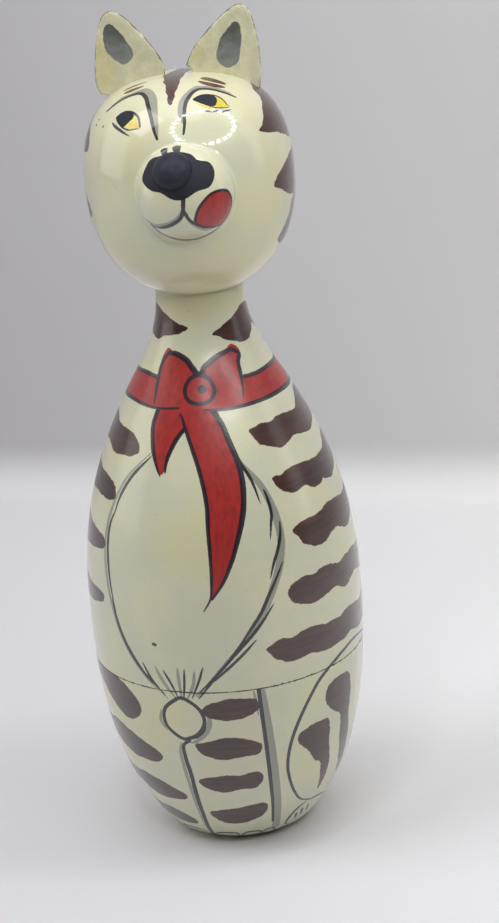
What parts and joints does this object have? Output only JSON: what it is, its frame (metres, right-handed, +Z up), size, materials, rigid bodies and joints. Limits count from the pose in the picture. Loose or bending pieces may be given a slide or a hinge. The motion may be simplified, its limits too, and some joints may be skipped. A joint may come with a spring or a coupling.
{
  "type": "seated cat figure container",
  "caption": "Turned wooden seated cat, painted and varnished: a hollow body lifts off a spigoted cup, and carries a round head with leather ears, muzzle and nose.",
  "frame": {"origin": "centre of the flat foot under the base cup", "axes": "+Z up along the turning axis, -Y where the painted front legs point, +X to the right as seen from the front"},
  "size_m": [0.1266, 0.1266, 0.3862],
  "materials": {
    "painted_wood": "turned softwood, ivory ground, brush-painted in brown, red, grey and blue-black, clear gloss varnish",
    "bare_wood": "bare turned dowel",
    "nose_black": "blue-black paint under gloss varnish",
    "ear_leather": "thick leather, thinly painted ivory, cut edges left dark brown"
  },
  "bodies": {
    "base": {"base_cup": "painted_wood"},
    "upper": {"body_shell": "painted_wood", "neck_dowel": "bare_wood", "head_ball": "painted_wood", "muzzle": "painted_wood", "muzzle_dowel": "bare_wood", "nose": "nose_black", "nose_peg": "bare_wood", "ear_left": "ear_leather", "ear_right": "ear_leather"}
  },
  "joints": [
    {"name": "lift_off", "type": "slide", "parent": "base", "child": "upper", "axis": [0, 0, 1], "range_m": [0, 0.1]}
  ]
}
